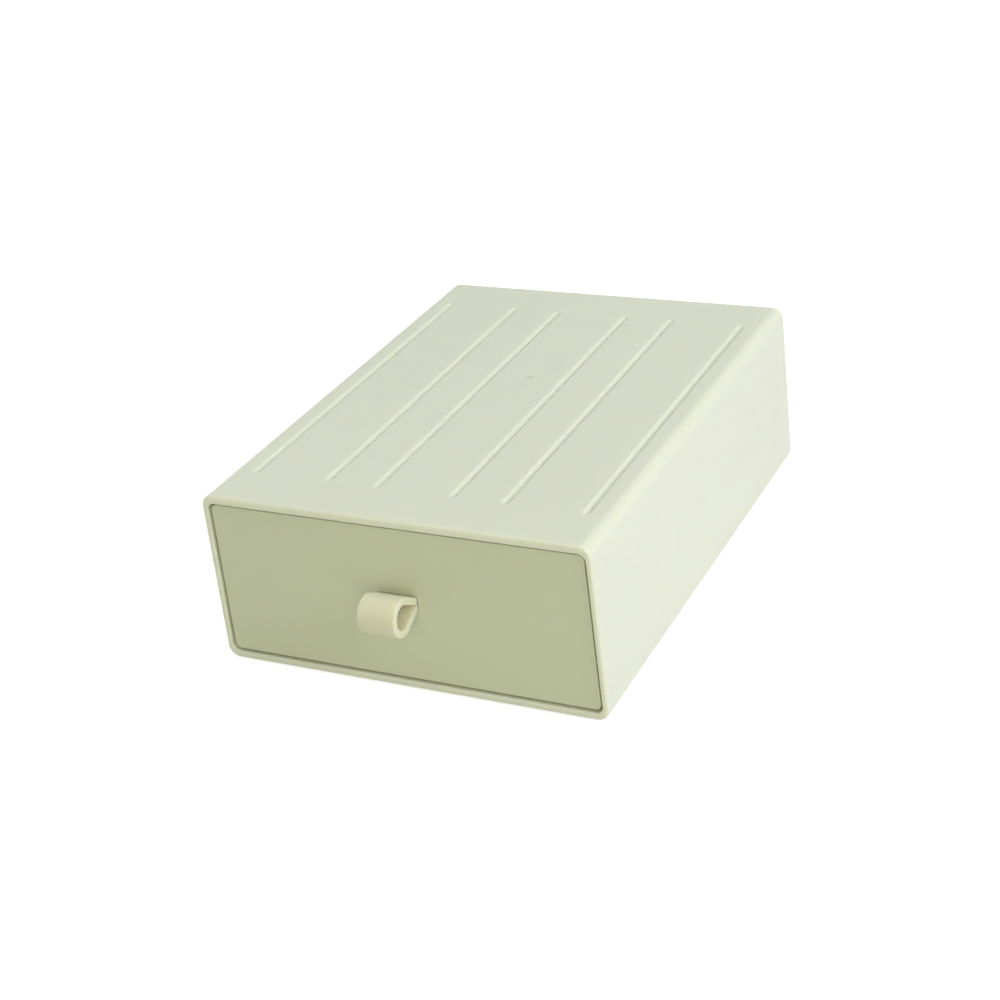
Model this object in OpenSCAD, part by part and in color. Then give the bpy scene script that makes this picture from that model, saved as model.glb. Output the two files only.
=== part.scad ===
// Stackable drawer box: a moulded sleeve, a sliding drawer with a matt front, and a soft pull strap.
// Lengths are in millimetres, +Z is up and the drawer opens towards -Y.
// The modules are drawn from the front rim (y = 0) and the flat underside of the base (z = 0).
// in_frame() then moves them, so that the origin is the middle of the whole footprint, on the surface
// that the box stands on.

/* [Shell] */
// Width of the shell, outside, at half height
shell_w = 150; // [130:1:220]
// Depth of the shell, outside, from the front rim to the back
shell_d = 200; // [160:1:300]
// Height of the shell, outside, without the stacking ribs
shell_h = 67; // [60:0.5:120]
// How much nearer each side is to the middle at the top than at the base
side_lean = 1.2; // [0:0.1:3]
// Thickness of the sides and the back
wall = 2.2; // [1.8:0.1:3]
// Thickness of the top
roof_t = 3; // [2.4:0.1:4]
// Thickness of the base
base_t = 2.7; // [2:0.1:4]
// Outside radius of the long edges
corner_r = 4.5; // [2:0.1:7]
// Inside radius of the long edges
inner_r = 3; // [1:0.1:5]

/* [Top grooves and stacking ribs] */
// Width of a groove in the top, between its upper edges
groove_w = 3; // [2.6:0.1:3.6]
// Width of a groove's floor
groove_floor = 0.6; // [0.4:0.1:0.8]
// Depth of a groove in the top
groove_depth = 1; // [0.8:0.1:1.2]
// Distance from the front and the back to the ends of the grooves
groove_margin = 20.5; // [10:0.5:40]
// Distance between the two middle grooves
groove_middle = 29.6; // [20:0.1:34]
// Distance from a middle groove to the next groove outwards
groove_step = 19.7; // [12:0.1:24]
// Distance from the side of the top to the outermost groove
groove_edge = 10.4; // [8:0.1:14]
// Gap at each side of a stacking rib that sits in a groove
stack_side_gap = 0.3; // [0.1:0.05:0.5]
// Gap under a stacking rib that sits in a groove
stack_depth_gap = 0.3; // [0.2:0.05:0.5]
// Radius of the moulding mark in the top
gate_r = 1.5; // [1:0.1:3]
// Depth of the moulding mark in the top
gate_depth = 0.4; // [0.2:0.1:1]
// Distance from the front to the moulding mark
gate_y = 116; // [60:1:140]

/* [Slide] */
// Distance from the middle to each runner on the shell's floor
runner_x = 50; // [30:1:55]
// Width of a runner
runner_w = 4; // [2:0.5:8]
// Height of a runner above the shell's floor
runner_h = 1.6; // [1.4:0.1:3]
// Distance from the front rim to the runners and the side guides
runner_start = 8; // [6:1:30]
// Sliding gap between the runners and the tray
slide_gap = 0.2; // [0.1:0.05:0.5]
// Height of the side guides that keep the tray level
guide_h = 1.6; // [1:0.1:3]
// Gap between the tray's edge and the side guides above it
guide_gap = 0.6; // [0.3:0.1:1]
// How far a side guide reaches over the tray's edge
guide_lap = 1.2; // [0.6:0.1:3]
// How far the drawer slides out before its lug meets the stop on the shell's floor
travel = 150; // [100:1:170]
// Width of the stop and of the tray's lug that meets it
stop_w = 24; // [10:1:50]
// Thickness of the stop and of the lug, along the slide
stop_t = 3; // [2:0.5:6]
// Gap over the stop and under the lug
stop_gap = 0.5; // [0.3:0.05:0.6]
// Room left between the lug and the stop at the end of the travel
stop_slack = 0.3; // [0.1:0.1:1]

/* [Tray] */
// Thickness of the tray's walls and floor
tray_wall = 1.6; // [1.2:0.1:2.5]
// Gap between each side of the tray and the shell
tray_side_gap = 1.2; // [0.6:0.1:2]
// Gap between the closed tray and the shell's back
tray_back_gap = 1.5; // [0.5:0.1:4]
// Height of the free space between the tray's edge and the shell's top
tray_headroom = 7.9; // [4:0.1:14]
// Outside radius of the tray's upright edges
tray_corner_r = 4; // [2:0.1:8]

/* [Front panel] */
// Thickness of the panel
panel_t = 2.4; // [1.6:0.1:4]
// Gap between the panel and the rim all round
panel_gap = 0.9; // [0.5:0.1:1.3]
// How far the closed panel lies behind the rim
panel_recess = 1; // [0:0.1:2]
// Radius of the pegs that hold the panel to the tray
peg_r = 2; // [1.2:0.1:3]
// Gap round a peg in its hole
peg_gap = 0.1; // [0.05:0.05:0.3]
// Radius of the flattened head behind each peg
peg_head_r = 3.2; // [3.1:0.1:5]
// Thickness of the flattened head
peg_head_t = 0.8; // [0.5:0.1:1.5]
// Distance from the tray's sides to the pegs
peg_side = 15; // [10:1:30]
// Distance from the tray's underside to the lower pegs
peg_low = 12; // [8:1:16]
// Distance from the tray's edge down to the upper pegs
peg_high = 9; // [7:1:12]

/* [Pull strap] */
// Width of the strap
strap_w = 14.4; // [10:0.1:25]
// Thickness of the strap
strap_t = 2.5; // [1.2:0.1:2.6]
// Height of the strap above the middle of the panel
strap_rise = 1.4; // [-4:0.1:6]
// Gap between the strap's two layers in the slot
layer_gap = 0.2; // [0.1:0.05:0.5]
// Gap round the strap in the slot
slot_gap = 0.15; // [0.1:0.05:0.4]
// Slope of the upper layer where it rises from the slot, in degrees
crown_slope = 30; // [15:1:35]
// Slope of the lower layer where it falls from the slot, in degrees
tail_slope = 24; // [10:1:30]
// Bend radius of the loop's crown
crown_r = 5.4; // [4:0.1:7]
// Bend radius of the loop's front
front_r = 6; // [5:0.1:8]
// Bend radius of the loop's lower tip
tip_r = 4; // [1.8:0.1:5]
// Bend radius where a layer leaves the slot
mouth_r = 1.5; // [1.4:0.1:2]
// Radius of the pin that holds the strap behind the tray's front wall
pin_r = 1.5; // [1.2:0.1:2]
// Length of the pin
pin_l = 20; // [18:0.5:40]
// Gap between the pin and the strap round it
pin_gap = 0.1; // [0.05:0.05:0.3]
// Slope of each layer where the strap spreads round the pin, in degrees
pin_slope = 28; // [20:1:40]

/* [Hidden] */
$fn = 64;
// Cuts run this far past a face
past = 1;
// The smallest inside radius of an edge
least_r = 0.6;

// Steps of each long edge's rounding
corner_steps = 12;
// Steps of each bend of the strap
bend_steps = 8;
// Headings of the strap, in degrees: 0 is forwards and -180 is backwards
crown_end = -65;
front_end = -165;
tip_end = -180 - tail_slope;

// The shell's sides
lean_angle = atan(side_lean / shell_h);
cavity_top = shell_h - roof_t;
cavity_back = shell_d - wall;

// The grooves and the ribs
groove_xs = [
    groove_middle / 2,
    groove_middle / 2 + groove_step,
    side_x(shell_h) - groove_edge,
];
groove_l = shell_d - 2 * groove_margin;
// How far each side of a groove or a rib leans inwards, per millimetre of its height
groove_lean = (groove_w - groove_floor) / 2 / groove_depth;
rib_w = groove_w - 2 * stack_side_gap;
rib_l = groove_l - 2 * stack_side_gap;
rib_h = groove_depth - stack_depth_gap;

// The tray
tray_z = base_t + runner_h + slide_gap;
tray_top = cavity_top - tray_headroom;
tray_half_w = side_x(tray_top) - wall / cos(lean_angle) - tray_side_gap;
tray_front = panel_recess + panel_t;
tray_back = cavity_back - tray_back_gap;
tray_l = tray_back - tray_front;
peg_xs = [-tray_half_w + peg_side, tray_half_w - peg_side];
peg_zs = [tray_z + peg_low, tray_top - peg_high];
lug_front = tray_back - stop_t;
stop_y = lug_front - stop_t - stop_slack - travel;

// The strap: half the distance between the middles of its two layers, and its height
layer_z = (strap_t + layer_gap) / 2;
strap_z = (base_t + cavity_top) / 2 + strap_rise;
slot_w = strap_w + 2 * slot_gap;
slot_h = 2 * strap_t + layer_gap + 2 * slot_gap;
slot_l = panel_t + tray_wall;

// The loop's bends take this much, and its two straight stretches close it
loop_bends = turn([0, 0], 0, crown_slope, -mouth_r)
    + turn([0, 0], crown_slope, crown_end, crown_r)
    + turn([0, 0], crown_end, front_end, front_r)
    + turn([0, 0], front_end, tip_end, tip_r)
    + turn([0, 0], tip_end, -180, -mouth_r);
loop_gap = [0, -2 * layer_z] - loop_bends;
crown_l = cross2(loop_gap, ahead(tip_end)) / cross2(ahead(crown_slope), ahead(tip_end));
tail_l = cross2(ahead(crown_slope), loop_gap) / cross2(ahead(crown_slope), ahead(tip_end));

// The strap's turn round the pin
pin_turn_r = pin_r + pin_gap + strap_t / 2;
pin_run = (pin_turn_r * cos(pin_slope) - layer_z - mouth_r * (1 - cos(pin_slope))) / sin(pin_slope);
pin_back = slot_l + (mouth_r + pin_turn_r) * sin(pin_slope) + pin_run * cos(pin_slope);

// The strap's middle line, from the slot's mouth round the loop, through the slot, round the pin and back
crown_start = turn([0, layer_z], 0, crown_slope, -mouth_r) + crown_l * ahead(crown_slope);
front_start = turn(crown_start, crown_slope, crown_end, crown_r);
tip_start = turn(front_start, crown_end, front_end, front_r);
tail_end = turn(tip_start, front_end, tip_end, tip_r) + tail_l * ahead(tip_end);
pin_start = turn([-slot_l, -layer_z], -180, -180 + pin_slope, -mouth_r)
    + pin_run * ahead(-180 + pin_slope);
pin_end = turn(pin_start, -180 + pin_slope, -360 - pin_slope, pin_turn_r)
    + pin_run * ahead(-360 - pin_slope);
strap_line = concat(
    bend([0, layer_z], 0, crown_slope, -mouth_r),
    bend(crown_start, crown_slope, crown_end, crown_r),
    bend(front_start, crown_end, front_end, front_r),
    bend(tip_start, front_end, tip_end, tip_r),
    bend(tail_end, tip_end, -180, -mouth_r),
    bend([-slot_l, -layer_z], -180, -180 + pin_slope, -mouth_r),
    bend(pin_start, -180 + pin_slope, -360 - pin_slope, pin_turn_r, 2 * bend_steps),
    bend(pin_end, -360 - pin_slope, -360, -mouth_r)
);

// How far the loop reaches in front of the rim
strap_reach = tip_reach(front_start) + strap_t / 2 - panel_recess;
// Where the front rim lies in the part's frame
front_y = (strap_reach - shell_d) / 2;

// Distance from the middle to the outside of a side, at a height
function side_x(z) = shell_w / 2 + side_lean * (0.5 - z / shell_h);
// The furthest point of the bend that starts at p and turns down through the vertical
function tip_reach(p) = p.x + front_r * (sin(crown_end) + 1);
// The direction of a heading, forwards and up
function ahead(h) = [cos(h), sin(h)];
function cross2(a, b) = a.x * b.y - a.y * b.x;
// The end of a bend from heading a to heading b: radius r turns down, and -r turns up
function turn(p, a, b, r) = p + r * [sin(a) - sin(b), cos(b) - cos(a)];
// The points of a bend, each with its heading
function bend(p, a, b, r, steps = bend_steps) = [
    for (k = [0:steps]) let (h = a + (b - a) * k / steps) [turn(p, a, h, r), h]
];
// Points of an arc round c, from angle a to angle b
function arc(c, r, a, b) = [
    for (k = [0:corner_steps]) let (h = a + (b - a) * k / corner_steps) c + r * [cos(h), sin(h)]
];
// The strap's middle line moved outwards by s, as points in Y and Z
function strap_edge(s) = [
    for (q = strap_line) let (p = q[0] + s * [-sin(q[1]), cos(q[1])])
        [panel_recess - p.x, strap_z + p.y]
];

module in_frame() {
    translate([0, front_y, rib_h]) children();
}

// An outline in X and Z, from y = a to y = b
module along_y(a, b) {
    translate([0, b, 0]) rotate([90, 0, 0]) linear_extrude(b - a) children();
}

// An outline in Y and Z, from x = a to x = b
module along_x(a, b) {
    translate([a, 0, 0]) rotate([90, 0, 90]) linear_extrude(b - a) children();
}

// The shell's cross-section, drawn in by inset at the sides, from z0 to z1, with corner radius r
module section(inset, z0, z1, r) {
    low = [side_x(z0 + r) - (inset + r) / cos(lean_angle), z0 + r];
    high = [side_x(z1 - r) - (inset + r) / cos(lean_angle), z1 - r];
    right = concat(arc(low, r, -90, lean_angle), arc(high, r, lean_angle, 90));
    polygon(concat(right, [for (k = [len(right) - 1:-1:0]) [-right[k].x, right[k].y]]));
}

// A bar with round ends along Y, of width w and length l at z = 0, which narrows down to z = -h.
// It also reaches a little above z = 0.
module leaning_bar(w, l, h) {
    root = past / 2;
    high_r = w / 2 + root * groove_lean;
    low_r = w / 2 - h * groove_lean;
    along_y((w - l) / 2, (l - w) / 2) polygon([[-low_r, -h], [low_r, -h], [high_r, root], [-high_r, root]]);
    for (end = [-1, 1]) translate([0, end * (l - w) / 2, -h]) cylinder(r1 = low_r, r2 = high_r, h = h + root);
}

// Children at each groove, on both sides of the middle
module at_grooves(z) {
    for (side = [-1, 1], x = groove_xs) translate([side * x, shell_d / 2, z]) children();
}

module shell_box() {
    difference() {
        along_y(0, shell_d) section(0, 0, shell_h, corner_r);
        along_y(-past, cavity_back) section(wall, base_t, cavity_top, inner_r);
        at_grooves(shell_h) leaning_bar(groove_w, groove_l, groove_depth);
        translate([0, gate_y, shell_h - gate_depth]) cylinder(r = gate_r, h = gate_depth + past);
    }
}

module runners() {
    for (side = [-1, 1]) {
        translate([side * runner_x - runner_w / 2, runner_start, base_t - wall / 2])
            cube([runner_w, cavity_back + wall / 2 - runner_start, runner_h + wall / 2]);
    }
}

module side_guides() {
    reach = wall * 1.5 + tray_side_gap + guide_lap;
    for (side = [-1, 1]) {
        inner_x = tray_half_w - guide_lap;
        translate([side > 0 ? inner_x : -inner_x - reach, runner_start, tray_top + guide_gap])
            cube([reach, cavity_back + wall / 2 - runner_start, guide_h]);
    }
}

module floor_stop() {
    translate([-stop_w / 2, stop_y, base_t - wall / 2])
        cube([stop_w, stop_t, wall / 2 + runner_h + slide_gap - stop_gap]);
}

module shell() {
    color([0.88, 0.90, 0.82]) in_frame() {
        shell_box();
        runners();
        intersection() {
            side_guides();
            along_y(0, shell_d) section(wall / 2, 0, shell_h, corner_r);
        }
        floor_stop();
        at_grooves(0) leaning_bar(rib_w, rib_l, rib_h);
    }
}

// A box with round upright edges, from the floor at z = 0
module round_box(half_w, l, h, r) {
    linear_extrude(h) {
        translate([r - half_w, 0]) square([2 * (half_w - r), l]);
        translate([-half_w, r]) square([2 * half_w, l - 2 * r]);
        for (x = [r - half_w, half_w - r], y = [r, l - r]) translate([x, y]) circle(r);
    }
}

// The slot that the strap passes through
module strap_slot(y0, y1) {
    along_y(y0, y1) translate([0, strap_z]) square([slot_w, slot_h], center = true);
}

module drawer_tray() {
    hollow_r = max(tray_corner_r - tray_wall, least_r);
    color([0.90, 0.91, 0.85]) in_frame() {
        difference() {
            translate([0, tray_front, tray_z])
                round_box(tray_half_w, tray_l, tray_top - tray_z, tray_corner_r);
            translate([0, tray_front + tray_wall, tray_z + tray_wall])
                round_box(tray_half_w - tray_wall, tray_l - 2 * tray_wall, tray_top, hollow_r);
            strap_slot(tray_front - past, tray_front + tray_wall + past);
            for (x = peg_xs, z = peg_zs) translate([x, tray_front - past, z])
                rotate([-90, 0, 0]) cylinder(r = peg_r + peg_gap, h = tray_wall + 2 * past);
        }
        translate([-stop_w / 2, lug_front, base_t + stop_gap])
            cube([stop_w, stop_t, runner_h + slide_gap - stop_gap + tray_wall / 2]);
    }
}

module front_panel() {
    panel_r = max(inner_r - panel_gap, least_r);
    color([0.72, 0.74, 0.60]) in_frame() {
        difference() {
            along_y(panel_recess, tray_front)
                section(wall + panel_gap, base_t + panel_gap, cavity_top - panel_gap, panel_r);
            strap_slot(panel_recess - past, tray_front + past);
        }
        for (x = peg_xs, z = peg_zs) translate([x, tray_front - panel_t / 2, z]) rotate([-90, 0, 0]) {
            cylinder(r = peg_r, h = panel_t / 2 + tray_wall + peg_head_t);
            translate([0, 0, panel_t / 2 + tray_wall]) cylinder(r = peg_head_r, h = peg_head_t);
        }
    }
}

module pull_strap() {
    color([0.90, 0.90, 0.80]) in_frame() along_x(-strap_w / 2, strap_w / 2) difference() {
        polygon(strap_edge(strap_t / 2));
        polygon(strap_edge(-strap_t / 2));
    }
}

module strap_pin() {
    color([0.82, 0.83, 0.76]) in_frame() translate([-pin_l / 2, panel_recess + pin_back, strap_z])
        rotate([0, 90, 0]) cylinder(r = pin_r, h = pin_l);
}

shell();
drawer_tray();
front_panel();
pull_strap();
strap_pin();
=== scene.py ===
"""Looks of a stackable drawer box: a moulded sleeve, and a drawer with a matt front and a soft strap.

The meshes are built in millimetres, in the part's own frame, and turned into metres when they are placed.
In the functions that build them, y runs from the front rim and z from the flat underside of the base.
"""
from math import atan, cos, degrees, pi, radians, sin, tan

import bmesh
import bpy
from mathutils import Matrix, Vector


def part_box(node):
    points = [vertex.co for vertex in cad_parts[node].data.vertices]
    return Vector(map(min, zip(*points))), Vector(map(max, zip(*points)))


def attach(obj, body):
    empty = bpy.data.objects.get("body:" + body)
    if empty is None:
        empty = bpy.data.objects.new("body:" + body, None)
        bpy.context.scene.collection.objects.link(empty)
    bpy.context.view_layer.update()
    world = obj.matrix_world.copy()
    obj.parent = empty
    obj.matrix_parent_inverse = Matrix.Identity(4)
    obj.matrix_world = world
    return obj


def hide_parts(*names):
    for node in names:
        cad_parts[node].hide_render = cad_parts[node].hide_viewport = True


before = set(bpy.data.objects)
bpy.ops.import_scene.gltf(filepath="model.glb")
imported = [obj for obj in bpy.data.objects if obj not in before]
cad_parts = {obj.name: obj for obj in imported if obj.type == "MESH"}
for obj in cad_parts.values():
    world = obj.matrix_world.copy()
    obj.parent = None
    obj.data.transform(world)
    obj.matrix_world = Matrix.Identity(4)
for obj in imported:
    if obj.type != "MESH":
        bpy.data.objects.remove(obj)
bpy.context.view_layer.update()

MM = 0.001

# The shell
SHELL_LOW, SHELL_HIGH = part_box("shell")
RIB_H = 0.7
FRONT_Y = SHELL_LOW.y / MM
SHELL_D = (SHELL_HIGH.y - SHELL_LOW.y) / MM
SHELL_H = SHELL_HIGH.z / MM - RIB_H
SHELL_W = 150.0
SIDE_LEAN = 1.2
LEAN_ANGLE = atan(SIDE_LEAN / SHELL_H)
WALL = 2.2
ROOF_T = 3.0
BASE_T = 2.7
CORNER_R = 4.5
INNER_R = 3.0
CAVITY_TOP = SHELL_H - ROOF_T
CAVITY_BACK = SHELL_D - WALL

# The grooves in the top, the ribs under the base, and the moulding gate's mark. The mark's bowl is in shares
# of its radius and depth
GROOVE_W = 3.0
GROOVE_FLOOR = 0.6
GROOVE_DEPTH = 1.0
GROOVE_LEAN = (GROOVE_W - GROOVE_FLOOR) / 2 / GROOVE_DEPTH
GROOVE_MARGIN = 20.5
GROOVE_XS = (14.8, 34.5, 64.0)
STACK_SIDE_GAP = 0.3
GATE_R = 1.5
GATE_DEPTH = 0.4
GATE_LIP = 0.1
GATE_BOWL = ((0.55, 1.0), (0.85, 0.8))
GATE_Y = 116.0

# The slide
TRAY_LOW, TRAY_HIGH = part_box("drawer_tray")
RUNNER_X = 50.0
RUNNER_W = 4.0
RUNNER_H = 1.6
RUNNER_START = 8.0
SLIDE_GAP = 0.2
GUIDE_H = 1.6
GUIDE_GAP = 0.6
GUIDE_LAP = 1.2
STOP_Y = 40.0
STOP_W = 24.0
STOP_T = 3.0
STOP_GAP = 0.5

# The tray
TRAY_WALL = 1.6
TRAY_HALF_W = TRAY_HIGH.x / MM
TRAY_Z = BASE_T + RUNNER_H + SLIDE_GAP
TRAY_TOP = TRAY_HIGH.z / MM - RIB_H
TRAY_FRONT = TRAY_LOW.y / MM - FRONT_Y
TRAY_BACK = TRAY_HIGH.y / MM - FRONT_Y
TRAY_CORNER_R = 4.0
TRAY_LEAST_R = 0.5
LUG_INSET = 0.02

# The front panel and its pegs. The head's form is in shares of its thickness and radius
PANEL_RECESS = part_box("front_panel")[0].y / MM - FRONT_Y
PANEL_GAP = 0.9
PEG_R = 2.0
PEG_GAP = 0.1
PEG_HEAD_R = 3.2
PEG_HEAD_T = 0.8
PEG_HEAD_FORM = ((0.0, 1.0), (0.5, 0.94), (1.0, 0.6))
PEG_SIDE = 15.0
PEG_LOW = 12.0
PEG_HIGH = 9.0

# The pull strap and its pin. Slopes and ends of bends are headings in degrees
STRAP_LOW, STRAP_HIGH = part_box("pull_strap")
STRAP_W = (STRAP_HIGH.x - STRAP_LOW.x) / MM
STRAP_T = 2.5
STRAP_LIFT = 1.4
STRAP_Z = (BASE_T + CAVITY_TOP) / 2 + STRAP_LIFT
LAYER_GAP = 0.2
LAYER_Z = (STRAP_T + LAYER_GAP) / 2
SLOT_GAP = 0.15
SLOT_L = TRAY_FRONT - PANEL_RECESS + TRAY_WALL
CROWN_SLOPE = 30.0
TAIL_SLOPE = 24.0
CROWN_END = -65.0
FRONT_END = -165.0
CROWN_R = 5.4
LOOP_FRONT_R = 6.0
TIP_R = 4.0
MOUTH_R = 1.5
PIN_R = 1.5
PIN_L = 20.0
PIN_CHAMFER = 0.4
PIN_CHAMFER_STEP = PIN_CHAMFER * 0.3
PIN_GAP = 0.1
PIN_SLOPE = 28.0
PIN_TURN_R = PIN_R + PIN_GAP + STRAP_T / 2

# How far a cutter reaches past a face, and a joined shape into its neighbour
OVERLAP = 1.0
# Points that lie closer than this are one point
MERGE_DISTANCE = 1e-4

# How wide the sharp edges are softened
SHELL_SOFTEN = 0.25
TRAY_SOFTEN = 0.2
PANEL_SOFTEN = 0.15
SOFTEN_STEPS = 3
SHARP_ANGLE = 40

# Steps of each kind of bend and straight stretch
CORNER_STEPS = 12
ROUND_STEPS = 4
GROOVE_STEPS = 5
BAR_END_STEPS = 16
TURNED_SIDES = 40
GATE_SIDES = 32
LOOP_STEPS = 16
LOOP_STRAIGHT_STEPS = 6
PIN_TURN_STEPS = 24
SLOT_STEPS = 4
STRAP_EDGE_STEPS = 5

# The photograph's view of the box
CAMERA_PLACE = Vector((299.28, FRONT_Y - 470.38, RIB_H + 360.40)) * MM
CAMERA_AZIMUTH = 28.463
CAMERA_ELEVATION = 27.617
CAMERA_ROLL = 6.875
CAMERA_LENS = 67.77
CAMERA_SENSOR = 36.0
CAMERA_NEAR = 0.01
CAMERA_FAR = 50.0

# Plastics: a slow mottle and uneven gloss, with their noise scales per metre, and how deep red, green and
# blue light go in, as shares of each plastic's depth
MOTTLE = 0.01
MOTTLE_SCALE = 25.0
GLOSS_SCALE = 180.0
GLOSS_LESS = 0.04
GLOSS_MORE = 0.05
NOISE_LOW = 0.3
NOISE_HIGH = 0.7
DEPTH_RGB = (1.0, 0.9, 0.6)
PLASTIC_IOR = 1.49

# Floor and light
FLOOR_HALF_W = 4000.0
FLOOR_COLOUR = (0.65, 0.65, 0.64, 1.0)
FLOOR_GLOW = 0.72
WORLD_STRENGTH = 0.3
LIGHT_TARGET = (0, 0, 30)


# ---------------------------------------------------------------- outlines and lofts


def side_x(z):
    """Distance from the middle to the outside of the shell's side, at a height."""
    return SHELL_W / 2 + SIDE_LEAN * (0.5 - z / SHELL_H)


def arc(cx, cz, r, start, end, steps=CORNER_STEPS):
    """Points of an arc, with the angles in degrees."""
    angles = [radians(start + (end - start) * k / steps) for k in range(steps + 1)]
    return [(cx + r * cos(a), cz + r * sin(a)) for a in angles]


def quarter_round(r):
    """Pairs that fall from r to 0 and rise from 0 to r, for the rings round an edge of radius r."""
    angles = [pi / 2 * k / ROUND_STEPS for k in range(ROUND_STEPS + 1)]
    return [(r * (1 - sin(a)), r * (1 - cos(a))) for a in angles]


def section(inset, z0, z1, r):
    """The shell's cross-section as points in X and Z, drawn in by inset at the sides, from z0 to z1."""
    lean = degrees(LEAN_ANGLE)
    low_x = side_x(z0 + r) - (inset + r) / cos(LEAN_ANGLE)
    high_x = side_x(z1 - r) - (inset + r) / cos(LEAN_ANGLE)
    right = arc(low_x, z0 + r, r, -90, lean) + arc(high_x, z1 - r, r, lean, 90)
    return right + [(-x, z) for x, z in reversed(right)]


def across(outline, y):
    """An outline in X and Z, placed at y."""
    return [Vector((x, y, z)) for x, z in outline]


def across_z(outline, z):
    """An outline in X and Y, placed at height z."""
    return [Vector((x, y, z)) for x, y in outline]


def round_rectangle(x0, x1, y0, y1, r, z):
    """A rectangle with round corners in X and Y, at height z."""
    corners = ((x1 - r, y1 - r, 0), (x0 + r, y1 - r, 90), (x0 + r, y0 + r, 180), (x1 - r, y0 + r, 270))
    return across_z([p for cx, cy, a in corners for p in arc(cx, cy, r, a, a + 90)], z)


def stadium(x, half_w, y0, y1, z):
    """A bar's outline with round ends, along Y from y0 to y1."""
    back = arc(x, y1 - half_w, half_w, 0, 180, BAR_END_STEPS)
    front = arc(x, y0 + half_w, half_w, 180, 360, BAR_END_STEPS)
    return across_z(back + front, z)


def loft(rings, closed=False):
    """Vertices and faces of a skin over rings of equal length. Closed joins the last ring to the first."""
    count = len(rings[0])
    verts = [p for ring in rings for p in ring]
    pairs = len(rings) if closed else len(rings) - 1
    faces = []
    for i in range(pairs):
        a, b = i * count, (i + 1) % len(rings) * count
        faces += [(a + k, a + (k + 1) % count, b + (k + 1) % count, b + k) for k in range(count)]
    if not closed:
        faces.append(tuple(range(count)))
        faces.append(tuple(range(len(verts) - count, len(verts))))
    return verts, faces


def join(shapes):
    """One shape of several (vertices, faces) shapes."""
    verts, faces = [], []
    for v, f in shapes:
        faces += [tuple(i + len(verts) for i in face) for face in f]
        verts += v
    return verts, faces


def block(low, high):
    """A box from corner to corner."""
    ring = [(low[0], low[1]), (high[0], low[1]), (high[0], high[1]), (low[0], high[1])]
    return loft([across_z(ring, z) for z in (low[2], high[2])])


def circle(r):
    """Points of a circle round zero, as steps from its centre."""
    angles = [2 * pi * k / TURNED_SIDES for k in range(TURNED_SIDES)]
    return [(r * cos(a), r * sin(a)) for a in angles]


def lathe_x(profile, y, z):
    """A solid turned about X. The profile is a list of (x, radius) with no zero radius."""
    return loft([[Vector((x, y + u, z + v)) for u, v in circle(r)] for x, r in profile])


def lathe_y(profile, x, z):
    """A solid turned about Y. The profile is a list of (y, radius) with no zero radius."""
    return loft([[Vector((x + u, y, z + v)) for u, v in circle(r)] for y, r in profile])


# ---------------------------------------------------------------- objects


def make(name, shape):
    """A mesh object of a shape, in millimetres, with its faces turned outwards."""
    mesh = bpy.data.meshes.new(name)
    mesh.from_pydata([tuple(v) for v in shape[0]], [], shape[1])
    bm = bmesh.new()
    bm.from_mesh(mesh)
    bmesh.ops.remove_doubles(bm, verts=bm.verts, dist=MERGE_DISTANCE)
    bmesh.ops.recalc_face_normals(bm, faces=bm.faces)
    bm.to_mesh(mesh)
    bm.free()
    obj = bpy.data.objects.new(name, mesh)
    bpy.context.scene.collection.objects.link(obj)
    return obj


def apply_modifiers(obj):
    """Replaces the object's mesh by what its modifiers make of it."""
    bpy.context.view_layer.update()
    depsgraph = bpy.context.evaluated_depsgraph_get()
    mesh = bpy.data.meshes.new_from_object(obj.evaluated_get(depsgraph), depsgraph=depsgraph)
    old = obj.data
    obj.modifiers.clear()
    obj.data = mesh
    bpy.data.meshes.remove(old)
    mesh.name = obj.name


def combine(obj, shape, operation):
    """Cuts a shape out of the object (DIFFERENCE) or adds it (UNION)."""
    tool = make("tool", shape)
    step = obj.modifiers.new("combine", "BOOLEAN")
    step.object = tool
    step.operation = operation
    step.solver = "EXACT"
    apply_modifiers(obj)
    bpy.data.objects.remove(tool)


def soften(obj, width):
    """Rounds the sharp edges."""
    bevel = obj.modifiers.new("soften", "BEVEL")
    bevel.limit_method = "ANGLE"
    bevel.angle_limit = radians(SHARP_ANGLE)
    bevel.width = width
    bevel.segments = SOFTEN_STEPS
    bevel.use_clamp_overlap = False
    bevel.miter_outer = "MITER_ARC"
    apply_modifiers(obj)


def place(obj, body, slot, material, *nodes):
    """Moves a piece from the building axes to the part's frame, in metres, and tells the frame about it."""
    weighted = obj.modifiers.new("shading", "WEIGHTED_NORMAL")
    weighted.mode = "FACE_AREA"
    weighted.weight = 50
    obj.data.shade_smooth()
    apply_modifiers(obj)
    obj.data.transform(Matrix.Scale(MM, 4) @ Matrix.Translation((0, FRONT_Y, RIB_H)))
    obj.data.materials.clear()
    obj.data.materials.append(material)
    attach(obj, body)
    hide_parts(*nodes)


# ---------------------------------------------------------------- the shell


def shell_rings():
    """Rings from the back face, along the outside, round the rim and into the cavity."""
    back_r, rim_r, mouth_r, cavity_r = 1.2, 1.0, 0.35, 1.5

    def outer(inset, y):
        return across(section(inset, inset, SHELL_H - inset, CORNER_R - inset), y)

    def inner(outset, y):
        outline = section(WALL - outset, BASE_T - outset, CAVITY_TOP + outset, INNER_R + outset)
        return across(outline, y)

    rings = [outer(fall, SHELL_D - rise) for fall, rise in quarter_round(back_r)]
    rings += [outer(rise, fall) for fall, rise in quarter_round(rim_r)]
    rings += [inner(fall, rise) for fall, rise in quarter_round(mouth_r)]
    rings += [inner(-rise, CAVITY_BACK - fall) for fall, rise in quarter_round(cavity_r)]
    return rings


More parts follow.
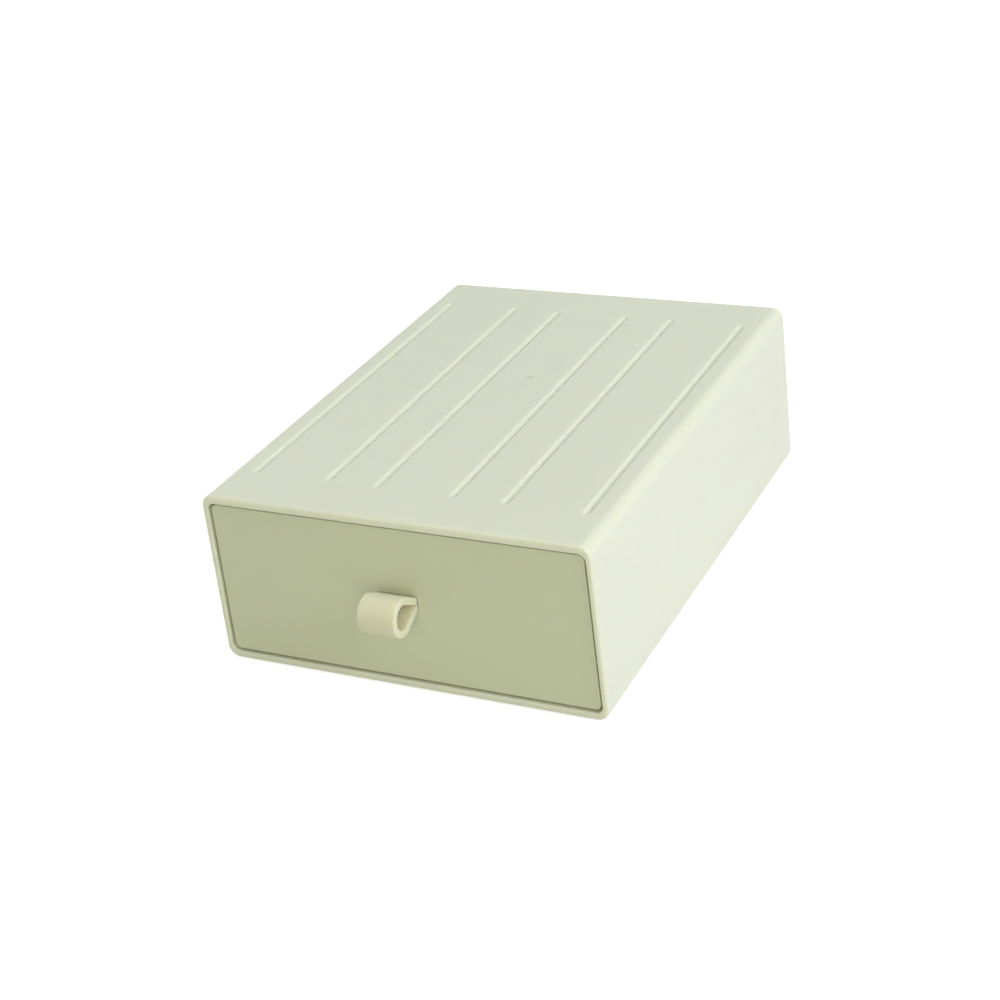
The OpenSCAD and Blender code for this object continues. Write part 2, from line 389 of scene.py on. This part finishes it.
def bars(profile, z):
    """A bar along Y at each groove's place. The profile is a list of (half width, depth below z)."""
    y0 = GROOVE_MARGIN + GROOVE_W / 2
    y1 = SHELL_D - y0
    return [
        loft([stadium(side * x, half_w, y0 - half_w, y1 + half_w, z - depth) for half_w, depth in profile])
        for side in (-1, 1) for x in GROOVE_XS
    ]


def groove_cutters():
    """Troughs with round ends, a rounded floor and rounded upper edges."""
    floor_r, edge_r = 0.83, 0.8
    slope = atan(1 / GROOVE_LEAN)
    angles = [slope * k / GROOVE_STEPS for k in range(GROOVE_STEPS + 1)]
    edge_x = GROOVE_W / 2 + edge_r * tan(slope / 2)
    profile = [(floor_r * sin(a), GROOVE_DEPTH - floor_r * (1 - cos(a))) for a in angles[1:]]
    profile += [(edge_x - edge_r * sin(a), edge_r * (1 - cos(a))) for a in reversed(angles)]
    profile.append((edge_x, -OVERLAP))
    return bars(profile, SHELL_H)


def gate_cutter():
    """A cutter for the moulding gate's shallow round mark, on the middle line of the top."""
    profile = [(GATE_R * out, GATE_DEPTH * down) for out, down in GATE_BOWL]
    profile += [(GATE_R, GATE_LIP), (GATE_R + GATE_LIP, 0), (GATE_R + GATE_LIP, -OVERLAP)]
    steps = GATE_SIDES - 1
    end = 360 - 360 / GATE_SIDES
    return loft([across_z(arc(0, GATE_Y, r, 0, end, steps), SHELL_H - depth) for r, depth in profile])


def stacking_ribs():
    """Low ribs that fit the grooves of a box below, with their tips' edges drawn in."""
    tip_start, tip_edge, tip_inset = 0.3, 0.1, 0.12
    half_w = GROOVE_W / 2 - STACK_SIDE_GAP
    drops = (-OVERLAP, RIB_H - tip_start, RIB_H - tip_edge)
    profile = [(half_w - drop * GROOVE_LEAN, drop) for drop in drops]
    profile.append((half_w - RIB_H * GROOVE_LEAN - tip_inset, RIB_H))
    return bars(profile, 0)


def inner_rails():
    """The runners on the floor, the side guides above the tray, and the stop."""
    back = CAVITY_BACK + WALL / 2
    guide_z = TRAY_TOP + GUIDE_GAP
    shapes = []
    for side in (-1, 1):
        x = side * RUNNER_X
        low = (x - RUNNER_W / 2, RUNNER_START, BASE_T / 2)
        high = (x + RUNNER_W / 2, back, BASE_T + RUNNER_H)
        shapes.append(block(low, high))
        inner_x, outer_x = TRAY_HALF_W - GUIDE_LAP, side_x(guide_z) - WALL / 2
        low_x, high_x = sorted((side * inner_x, side * outer_x))
        shapes.append(block((low_x, RUNNER_START, guide_z), (high_x, back, guide_z + GUIDE_H)))
    low = (-STOP_W / 2, STOP_Y, BASE_T / 2)
    high = (STOP_W / 2, STOP_Y + STOP_T, TRAY_Z - STOP_GAP)
    shapes.append(block(low, high))
    return shapes


def build_shell(material):
    """The sleeve, with its grooves, stacking ribs and inner rails."""
    shell = make("shell_body", loft(shell_rings()))
    combine(shell, join(groove_cutters() + [gate_cutter()]), "DIFFERENCE")
    combine(shell, join(stacking_ribs()), "UNION")
    combine(shell, join(inner_rails()), "UNION")
    soften(shell, SHELL_SOFTEN)
    place(shell, "housing", "shell_plastic", material, "shell")


# ---------------------------------------------------------------- the drawer


def tray_rings():
    """Rings from the underside, up the outside, over the edge and down to the floor."""
    foot_r, edge_r, floor_r = 1.0, 0.5, 2.0
    floor_z = TRAY_Z + TRAY_WALL

    def ring(inset, z):
        half_w = TRAY_HALF_W - inset
        r = max(TRAY_CORNER_R - inset, TRAY_LEAST_R)
        return round_rectangle(-half_w, half_w, TRAY_FRONT + inset, TRAY_BACK - inset, r, z)

    rings = [ring(fall, TRAY_Z + rise) for fall, rise in quarter_round(foot_r)]
    rings += [ring(rise, TRAY_TOP - fall) for fall, rise in quarter_round(edge_r)]
    rings += [ring(TRAY_WALL - fall, TRAY_TOP - rise) for fall, rise in quarter_round(edge_r)]
    rings += [ring(TRAY_WALL + rise, floor_z + fall) for fall, rise in quarter_round(floor_r)]
    return rings


def strap_slot(y0, y1):
    """A cutter for the strap's two layers, from y0 to y1."""
    half_w, half_h = STRAP_W / 2 + SLOT_GAP, STRAP_T + LAYER_GAP / 2 + SLOT_GAP
    return block((-half_w, y0, STRAP_Z - half_h), (half_w, y1, STRAP_Z + half_h))


def at_pegs(profile):
    """A shape turned about Y at each of the four pegs."""
    x = TRAY_HALF_W - PEG_SIDE
    places = [(side * x, z) for side in (-1, 1) for z in (TRAY_Z + PEG_LOW, TRAY_TOP - PEG_HIGH)]
    return join([lathe_y(profile, x, z) for x, z in places])


def build_tray(material):
    """The open tray, with the peg holes and the slot in its front wall, and the lug under its back."""
    tray = make("tray_body", loft(tray_rings()))
    near, far = TRAY_FRONT - OVERLAP, TRAY_FRONT + TRAY_WALL + OVERLAP
    combine(tray, at_pegs([(near, PEG_R + PEG_GAP), (far, PEG_R + PEG_GAP)]), "DIFFERENCE")
    combine(tray, strap_slot(near, far), "DIFFERENCE")
    low = (-STOP_W / 2, TRAY_BACK - STOP_T, BASE_T + STOP_GAP)
    high = (STOP_W / 2, TRAY_BACK - LUG_INSET, TRAY_Z + TRAY_WALL / 2)
    combine(tray, block(low, high), "UNION")
    soften(tray, TRAY_SOFTEN)
    place(tray, "drawer", "tray_plastic", material, "drawer_tray")


def build_panel(material):
    """The front plate, with a rounded front edge, its slot, and the pegs with flattened heads behind it."""
    edge_r = 0.25

    def ring(inset, y):
        i = PANEL_GAP + inset
        outline = section(WALL + i, BASE_T + i, CAVITY_TOP - i, INNER_R - i)
        return across(outline, y)

    rings = [ring(fall, PANEL_RECESS + rise) for fall, rise in quarter_round(edge_r)]
    rings.append(ring(0, TRAY_FRONT))
    panel = make("panel_plate", loft(rings))
    head_y = TRAY_FRONT + TRAY_WALL
    peg = [(TRAY_FRONT - OVERLAP, PEG_R), (head_y, PEG_R)]
    peg += [(head_y + PEG_HEAD_T * along, PEG_HEAD_R * out) for along, out in PEG_HEAD_FORM]
    combine(panel, at_pegs(peg), "UNION")
    combine(panel, strap_slot(PANEL_RECESS - OVERLAP, TRAY_FRONT + OVERLAP), "DIFFERENCE")
    soften(panel, PANEL_SOFTEN)
    place(panel, "drawer", "panel_plastic", material, "front_panel")


# ---------------------------------------------------------------- the pull strap


def ahead(heading):
    """The direction of a heading, as (forwards, up)."""
    return Vector((cos(radians(heading)), sin(radians(heading))))


def turn(p, start, end, r):
    """The end of a bend from one heading to another: radius r turns down and -r turns up."""
    a, b = radians(start), radians(end)
    return p + r * Vector((sin(a) - sin(b), cos(b) - cos(a)))


def bend(p, start, end, r, steps):
    """The points of a bend, both ends included, as (point, heading)."""
    headings = [start + (end - start) * k / steps for k in range(steps + 1)]
    return [(turn(p, start, h, r), h) for h in headings]


def straight(p, heading, length, steps):
    """The points between the ends of a straight stretch, as (point, heading)."""
    return [(p + ahead(heading) * length * k / steps, heading) for k in range(1, steps)]


def pin_run():
    """Length of each layer's straight stretch between the slot and the turn round the pin."""
    slope = radians(PIN_SLOPE)
    return (PIN_TURN_R * cos(slope) - LAYER_Z - MOUTH_R * (1 - cos(slope))) / sin(slope)


def pin_back():
    """How far the pin's axis lies behind the panel's front."""
    slope = radians(PIN_SLOPE)
    return SLOT_L + (MOUTH_R + PIN_TURN_R) * sin(slope) + pin_run() * cos(slope)


def strap_line():
    """The strap's middle line as (point, heading), forwards and up from the middle of the slot's mouth."""
    tip_end = -180 - TAIL_SLOPE
    bends = [
        (0, CROWN_SLOPE, -MOUTH_R), (CROWN_SLOPE, CROWN_END, CROWN_R), (CROWN_END, FRONT_END, LOOP_FRONT_R),
        (FRONT_END, tip_end, TIP_R), (tip_end, -180, -MOUTH_R),
    ]

    # The two straight stretches close the loop from the upper layer to the lower one
    gap = Vector((0, -2 * LAYER_Z))
    for start, end, r in bends:
        gap = turn(gap, start, end, -r)
    crown, tail = ahead(CROWN_SLOPE), ahead(tip_end)
    crown_l = gap.cross(tail) / crown.cross(tail)
    tail_l = crown.cross(gap) / crown.cross(tail)

    line, p = [], Vector((0, LAYER_Z))
    for (start, end, r), length in zip(bends, (crown_l, 0, 0, tail_l, 0)):
        line += bend(p, start, end, r, LOOP_STEPS)
        p = turn(p, start, end, r)
        if length:
            line += straight(p, end, length, LOOP_STRAIGHT_STEPS)
            p = p + ahead(end) * length
    line += straight(p, -180, SLOT_L, SLOT_STEPS)
    p = p + ahead(-180) * SLOT_L

    pin_bends = [
        (-180, -180 + PIN_SLOPE, -MOUTH_R, pin_run()),
        (-180 + PIN_SLOPE, -360 - PIN_SLOPE, PIN_TURN_R, pin_run()),
        (-360 - PIN_SLOPE, -360, -MOUTH_R, SLOT_L),
    ]
    for start, end, r, length in pin_bends:
        line += bend(p, start, end, r, PIN_TURN_STEPS)
        p = turn(p, start, end, r)
        line += straight(p, end, length, SLOT_STEPS)
        p = p + ahead(end) * length
    return line


def build_strap(material):
    """The strap swept along its line, with rounded cut edges."""
    edge_r = 0.35
    flat_x, flat_s = STRAP_W / 2 - edge_r, STRAP_T / 2 - edge_r
    corners = ((flat_x, flat_s, 0), (-flat_x, flat_s, 90), (-flat_x, -flat_s, 180), (flat_x, -flat_s, 270))
    outline = [p for cx, cs, a in corners for p in arc(cx, cs, edge_r, a, a + 90, STRAP_EDGE_STEPS)]
    rings = []
    for p, heading in strap_line():
        out = Vector((-sin(radians(heading)), cos(radians(heading))))
        points = [(x, p + out * s) for x, s in outline]
        rings.append([Vector((x, PANEL_RECESS - q.x, STRAP_Z + q.y)) for x, q in points])
    strap = make("strap_band", loft(rings, closed=True))
    place(strap, "drawer", "strap_soft", material, "pull_strap")


def build_pin(material):
    """The pin that the strap turns round, with chamfered ends."""
    end, cut, step = PIN_L / 2, PIN_CHAMFER, PIN_CHAMFER_STEP
    profile = [(-end, PIN_R - cut), (-end + step, PIN_R - step), (-end + cut, PIN_R)]
    profile += [(-x, r) for x, r in reversed(profile)]
    pin = make("pin_rod", lathe_x(profile, PANEL_RECESS + pin_back(), STRAP_Z))
    place(pin, "drawer", "pin_plastic", material, "strap_pin")


# ---------------------------------------------------------------- materials


def srgb(r, g, b):
    """A colour written as it looks on the screen, from 0 to 255, as linear light."""
    def linear(c):
        c /= 255
        return c / 12.92 if c <= 0.04045 else ((c + 0.055) / 1.055) ** 2.4
    return (linear(r), linear(g), linear(b), 1.0)


# Each plastic's colour, roughness, grain size and height, share of light that goes in, and how deep it goes
PLASTICS = {
    "shell_plastic": (srgb(229, 232, 213), 0.42, 0.7, 0.006, 0.7, 3.0),
    "tray_plastic": (srgb(230, 233, 217), 0.40, 0.9, 0.005, 0.1, 1.5),
    "panel_plastic": (srgb(209, 214, 187), 0.55, 0.35, 0.012, 0.25, 1.5),
    "strap_soft": (srgb(226, 224, 200), 0.7, 0.25, 0.006, 0.9, 3.0),
    "pin_plastic": (srgb(222, 225, 208), 0.35, 0.6, 0.004, 0.0, 1.5),
}


def link(tree, source, target):
    tree.links.new(source, target)


def noise(tree, coordinates, scale, detail, roughness=0.55):
    """A noise texture's value."""
    node = tree.nodes.new("ShaderNodeTexNoise")
    node.inputs["Scale"].default_value = scale
    node.inputs["Detail"].default_value = detail
    node.inputs["Roughness"].default_value = roughness
    link(tree, coordinates, node.inputs["Vector"])
    return node.outputs["Fac"]


def between(tree, value, low, high):
    """A noise value's usual range, spread from low to high."""
    node = tree.nodes.new("ShaderNodeMapRange")
    node.inputs["From Min"].default_value = NOISE_LOW
    node.inputs["From Max"].default_value = NOISE_HIGH
    node.inputs["To Min"].default_value = low
    node.inputs["To Max"].default_value = high
    link(tree, value, node.inputs["Value"])
    return node.outputs["Result"]


def moulded(name):
    """Moulded plastic: a faint slow mottle in the colour, uneven gloss, and a fine grain."""
    colour, roughness, grain_size, grain_height, light_share, light_depth = PLASTICS[name]
    material = bpy.data.materials.new(name)
    material.use_nodes = True
    tree = material.node_tree
    shader = tree.nodes["Principled BSDF"]
    coordinates = tree.nodes.new("ShaderNodeTexCoord").outputs["Object"]
    slow = noise(tree, coordinates, MOTTLE_SCALE, detail=3.0)
    tint = tree.nodes.new("ShaderNodeMix")
    tint.data_type = "RGBA"
    tint.inputs["A"].default_value = tuple(c * (1 - MOTTLE) for c in colour[:3]) + (1.0,)
    tint.inputs["B"].default_value = tuple(min(c * (1 + MOTTLE), 1.0) for c in colour[:3]) + (1.0,)
    link(tree, between(tree, slow, 0.0, 1.0), tint.inputs["Factor"])
    link(tree, tint.outputs["Result"], shader.inputs["Base Color"])
    medium = noise(tree, coordinates, GLOSS_SCALE, detail=4.0)
    gloss = between(tree, medium, roughness - GLOSS_LESS, roughness + GLOSS_MORE)
    link(tree, gloss, shader.inputs["Roughness"])
    fine = noise(tree, coordinates, 1 / (grain_size * MM), detail=3.0, roughness=0.6)
    bump = tree.nodes.new("ShaderNodeBump")
    bump.inputs["Strength"].default_value = 1.0
    bump.inputs["Distance"].default_value = grain_height * MM
    link(tree, fine, bump.inputs["Height"])
    link(tree, bump.outputs["Normal"], shader.inputs["Normal"])
    shader.inputs["Subsurface Weight"].default_value = light_share
    shader.inputs["Subsurface Radius"].default_value = DEPTH_RGB
    shader.inputs["Subsurface Scale"].default_value = light_depth * MM
    shader.inputs["IOR"].default_value = PLASTIC_IOR
    return material


# ---------------------------------------------------------------- floor, light and camera


def shown_or_lit(tree, lit, shown):
    """Mixes two shaders: shown for the camera, reflections and clear things, and lit for all other rays."""
    path = tree.nodes.new("ShaderNodeLightPath")
    seen = path.outputs["Is Camera Ray"]
    for kind in ("Is Glossy Ray", "Is Transmission Ray"):
        either = tree.nodes.new("ShaderNodeMath")
        either.operation = "MAXIMUM"
        link(tree, seen, either.inputs[0])
        link(tree, path.outputs[kind], either.inputs[1])
        seen = either.outputs[0]
    mix = tree.nodes.new("ShaderNodeMixShader")
    link(tree, seen, mix.inputs["Fac"])
    link(tree, lit, mix.inputs[1])
    link(tree, shown, mix.inputs[2])
    return mix.outputs[0]


def build_floor():
    """A wide pale floor. The camera sees it lifted by a glow, so that it looks plain white."""
    half = FLOOR_HALF_W
    outline = [(-half, -half), (half, -half), (half, half), (-half, half)]
    floor = make("floor", (across_z(outline, 0), [(0, 1, 2, 3)]))
    floor.data.transform(Matrix.Scale(MM, 4))
    material = bpy.data.materials.new("floor")
    material.use_nodes = True
    tree = material.node_tree
    tree.nodes.remove(tree.nodes["Principled BSDF"])
    matt = tree.nodes.new("ShaderNodeBsdfDiffuse")
    matt.inputs["Color"].default_value = FLOOR_COLOUR
    glow = tree.nodes.new("ShaderNodeEmission")
    glow.inputs["Strength"].default_value = FLOOR_GLOW
    lifted = tree.nodes.new("ShaderNodeAddShader")
    link(tree, matt.outputs[0], lifted.inputs[0])
    link(tree, glow.outputs[0], lifted.inputs[1])
    surface = shown_or_lit(tree, matt.outputs[0], lifted.outputs[0])
    link(tree, surface, tree.nodes["Material Output"].inputs["Surface"])
    floor.data.materials.append(material)


def build_world():
    """An even soft light from all around, which the camera sees as plain white."""
    world = bpy.data.worlds.new("studio")
    bpy.context.scene.world = world
    world.use_nodes = True
    tree = world.node_tree
    soft = tree.nodes["Background"]
    soft.inputs["Color"].default_value = (1.0, 1.0, 1.0, 1)
    soft.inputs["Strength"].default_value = WORLD_STRENGTH
    white = tree.nodes.new("ShaderNodeBackground")
    white.inputs["Strength"].default_value = 1.0
    surface = shown_or_lit(tree, soft.outputs[0], white.outputs[0])
    link(tree, surface, tree.nodes["World Output"].inputs["Surface"])


def area_light(name, place_mm, size_mm, power, colour):
    """A square lamp that faces the box."""
    lamp = bpy.data.lights.new(name, "AREA")
    lamp.shape = "SQUARE"
    lamp.size = size_mm * MM
    lamp.energy = power
    lamp.color = colour
    obj = bpy.data.objects.new(name, lamp)
    bpy.context.scene.collection.objects.link(obj)
    obj.location = Vector(place_mm) * MM
    direction = (Vector(LIGHT_TARGET) - Vector(place_mm)).normalized()
    obj.rotation_mode = "QUATERNION"
    obj.rotation_quaternion = direction.to_track_quat("-Z", "Y")


def build_lights():
    area_light("key_right", (1400, -80, 870), 900, 14.8, (0.93, 0.93, 1.0))
    area_light("top", (-100, 200, 1700), 1200, 6.2, (0.93, 1.0, 0.92))
    area_light("fill_left", (-1500, 900, 350), 1200, 4.0, (1.0, 1.0, 1.0))
    area_light("front", (500, -1600, 500), 1200, 9.1, (1.0, 1.0, 0.69))


def build_camera():
    """The camera at the photograph's place, turned by its azimuth, elevation and roll."""
    camera = bpy.data.cameras.new("camera")
    camera.sensor_width = CAMERA_SENSOR
    camera.lens = CAMERA_LENS
    camera.clip_start = CAMERA_NEAR
    camera.clip_end = CAMERA_FAR
    obj = bpy.data.objects.new("camera", camera)
    bpy.context.scene.collection.objects.link(obj)
    a, e = radians(CAMERA_AZIMUTH), radians(CAMERA_ELEVATION)
    back = Vector((sin(a) * cos(e), -cos(a) * cos(e), sin(e)))
    level = (-back).to_track_quat("-Z", "Y").to_matrix().to_4x4()
    roll = Matrix.Rotation(radians(-CAMERA_ROLL), 4, "Z")
    obj.matrix_world = Matrix.Translation(CAMERA_PLACE) @ level @ roll
    bpy.context.scene.camera = obj


# ---------------------------------------------------------------- the scene

build_camera()
build_shell(moulded("shell_plastic"))
build_tray(moulded("tray_plastic"))
build_panel(moulded("panel_plastic"))
build_strap(moulded("strap_soft"))
build_pin(moulded("pin_plastic"))
build_floor()
build_world()
build_lights()
bpy.context.scene.view_settings.view_transform = "Standard"
